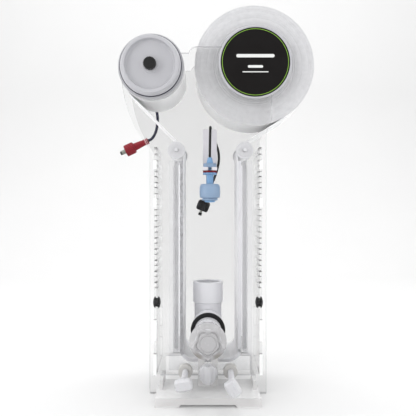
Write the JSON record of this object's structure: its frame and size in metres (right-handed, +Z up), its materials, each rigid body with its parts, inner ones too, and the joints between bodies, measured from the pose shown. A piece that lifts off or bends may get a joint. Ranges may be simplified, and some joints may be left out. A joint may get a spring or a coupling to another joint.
{
  "type": "roller fleece filter",
  "caption": "Clear sump filter that pulls a roll of white fleece through a slotted chamber onto a motor-driven spool, with an elbow inlet, float switch and foot.",
  "frame": {"origin": "on the ground under the middle of the body's box, cords left out", "axes": "+Z up, the front with the inlet faces -Y, the large roll is on the +X side"},
  "size_m": [0.2774, 0.23, 0.516],
  "materials": {
    "clear_acrylic": "clear polished acrylic sheet, laser cut",
    "frosted_acrylic": "slightly frosted acrylic sheet",
    "screen_plastic": "perforated pale sheet",
    "bar_plastic": "grey plastic",
    "white_plastic": "white moulded plastic, satin",
    "fleece": "white non-woven filter fleece",
    "cardboard": "pressed paper tube",
    "label_black": "black printed disc, satin",
    "black_plastic": "black plastic, matte",
    "rubber": "black rubber",
    "gasket_red": "dark red silicone",
    "cable_navy": "navy cable sheath",
    "cable_black": "black cable sheath",
    "motor_steel": "dark zinc-plated can",
    "steel": "stainless steel",
    "plug_red": "dark red moulded plastic",
    "plug_metal": "grey metal",
    "pvc": "pale grey pvc",
    "natural_plastic": "natural translucent polypropylene",
    "float_blue": "light blue polypropylene",
    "nylon": "white nylon"
  },
  "bodies": {
    "chamber": {"front_plate": "clear_acrylic", "back_plate": "clear_acrylic", "side_wall_left": "clear_acrylic", "side_wall_right": "clear_acrylic", "chamber_floor": "clear_acrylic", "side_grommets": "rubber", "screw_bosses": "bar_plastic", "carriage_front": "frosted_acrylic", "carriage_rear": "frosted_acrylic", "screen_left": "screen_plastic", "screen_right": "screen_plastic", "screen_bottom": "screen_plastic", "guide_bars": "bar_plastic", "roller_axles": "white_plastic", "fleece_feed": "fleece", "fleece_bed": "fleece", "fleece_return": "fleece", "supply_bush": "white_plastic", "spindle_boss": "white_plastic", "takeup_bush": "white_plastic", "motor_plate": "steel", "motor_screws": "steel", "motor_body": "motor_steel", "motor_gland": "black_plastic", "motor_cable": "cable_navy", "motor_plug_boot": "plug_red", "motor_plug_nut": "plug_red", "motor_plug_barrel": "plug_metal", "inlet_elbow": "pvc", "inlet_riser": "pvc", "inlet_grommet": "rubber", "float_bracket": "clear_acrylic", "float_gland": "float_blue", "float_gasket": "gasket_red", "float_stem": "float_blue", "float_clip": "float_blue", "float_cable": "cable_black", "float_plug": "black_plastic"},
    "supply_roll": {"fleece_roll": "fleece", "supply_core": "cardboard"},
    "spindle": {"supply_spindle": "white_plastic", "supply_hub": "white_plastic", "hub_label": "label_black"},
    "takeup_spool": {"takeup_drum": "white_plastic", "takeup_wrap": "fleece", "takeup_cap": "white_plastic", "takeup_ring": "rubber", "takeup_shaft": "steel"},
    "spool_nut": {"takeup_nut": "black_plastic"},
    "roller_left": {"guide_roller_left": "white_plastic", "roller_caps_left": "white_plastic"},
    "roller_right": {"guide_roller_right": "white_plastic", "roller_caps_right": "white_plastic"},
    "tailpiece": {"inlet_tailpiece": "natural_plastic"},
    "union_nut": {"inlet_nut": "natural_plastic"},
    "float_body": {"float": "float_blue"},
    "foot_frame": {"foot": "frosted_acrylic"},
    "screw_left": {"thumb_screw_left": "nylon"},
    "screw_right": {"thumb_screw_right": "nylon"},
    "screw_centre": {"thumb_screw_centre": "nylon"}
  },
  "joints": [
    {"name": "supply_spin", "type": "hinge", "parent": "chamber", "child": "supply_roll", "pos_m": [0.05025, 0.015, 0.436], "axis": [0, 1, 0], "continuous": true},
    {"name": "takeup_spin", "type": "hinge", "parent": "chamber", "child": "takeup_spool", "pos_m": [-0.08675, 0.015, 0.431], "axis": [0, 1, 0], "continuous": true},
    {"name": "roller_left_spin", "type": "hinge", "parent": "chamber", "child": "roller_left", "pos_m": [-0.05395, 0.015, 0.322], "axis": [0, 1, 0], "continuous": true},
    {"name": "roller_right_spin", "type": "hinge", "parent": "chamber", "child": "roller_right", "pos_m": [0.03705, 0.015, 0.322], "axis": [0, 1, 0], "continuous": true},
    {"name": "spool_nut_turn", "type": "hinge", "parent": "takeup_spool", "child": "spool_nut", "pos_m": [-0.08675, -0.047, 0.431], "axis": [0, 1, 0], "continuous": true},
    {"name": "spindle_pull", "type": "slide", "parent": "chamber", "child": "spindle", "axis": [0, -1, 0], "range_m": [0, 0.105]},
    {"name": "union_nut_turn", "type": "hinge", "parent": "tailpiece", "child": "union_nut", "pos_m": [-0.01175, -0.101, 0.084], "axis": [0, 1, 0], "range_deg": [0, 720]},
    {"name": "tailpiece_slide", "type": "slide", "parent": "chamber", "child": "tailpiece", "axis": [0, -1, 0], "range_m": [0, 0.006]},
    {"name": "float_slide", "type": "slide", "parent": "chamber", "child": "float_body", "axis": [0, 0, 1], "range_m": [0, 0.012]},
    {"name": "foot_slide", "type": "slide", "parent": "chamber", "child": "foot_frame", "axis": [0, 0, -1], "range_m": [0, 0.02]},
    {"name": "screw_left_turn", "type": "hinge", "parent": "chamber", "child": "screw_left", "pos_m": [-0.04125, -0.095, 0.0312], "axis": [0, 1, 0], "continuous": true},
    {"name": "screw_right_turn", "type": "hinge", "parent": "chamber", "child": "screw_right", "pos_m": [0.01775, -0.107, 0.0312], "axis": [0, 1, 0], "continuous": true},
    {"name": "screw_centre_turn", "type": "hinge", "parent": "chamber", "child": "screw_centre", "pos_m": [-0.01175, -0.055, 0.0312], "axis": [0, 1, 0], "continuous": true}
  ],
  "couplings": [
    {"joint": "takeup_spin", "follows": "supply_spin", "ratio": 1.8286},
    {"joint": "roller_left_spin", "follows": "supply_spin", "ratio": -8.7081},
    {"joint": "roller_right_spin", "follows": "supply_spin", "ratio": -8.7081},
    {"joint": "tailpiece_slide", "follows": "union_nut_turn", "m_per_rad": 0.00047746}
  ]
}
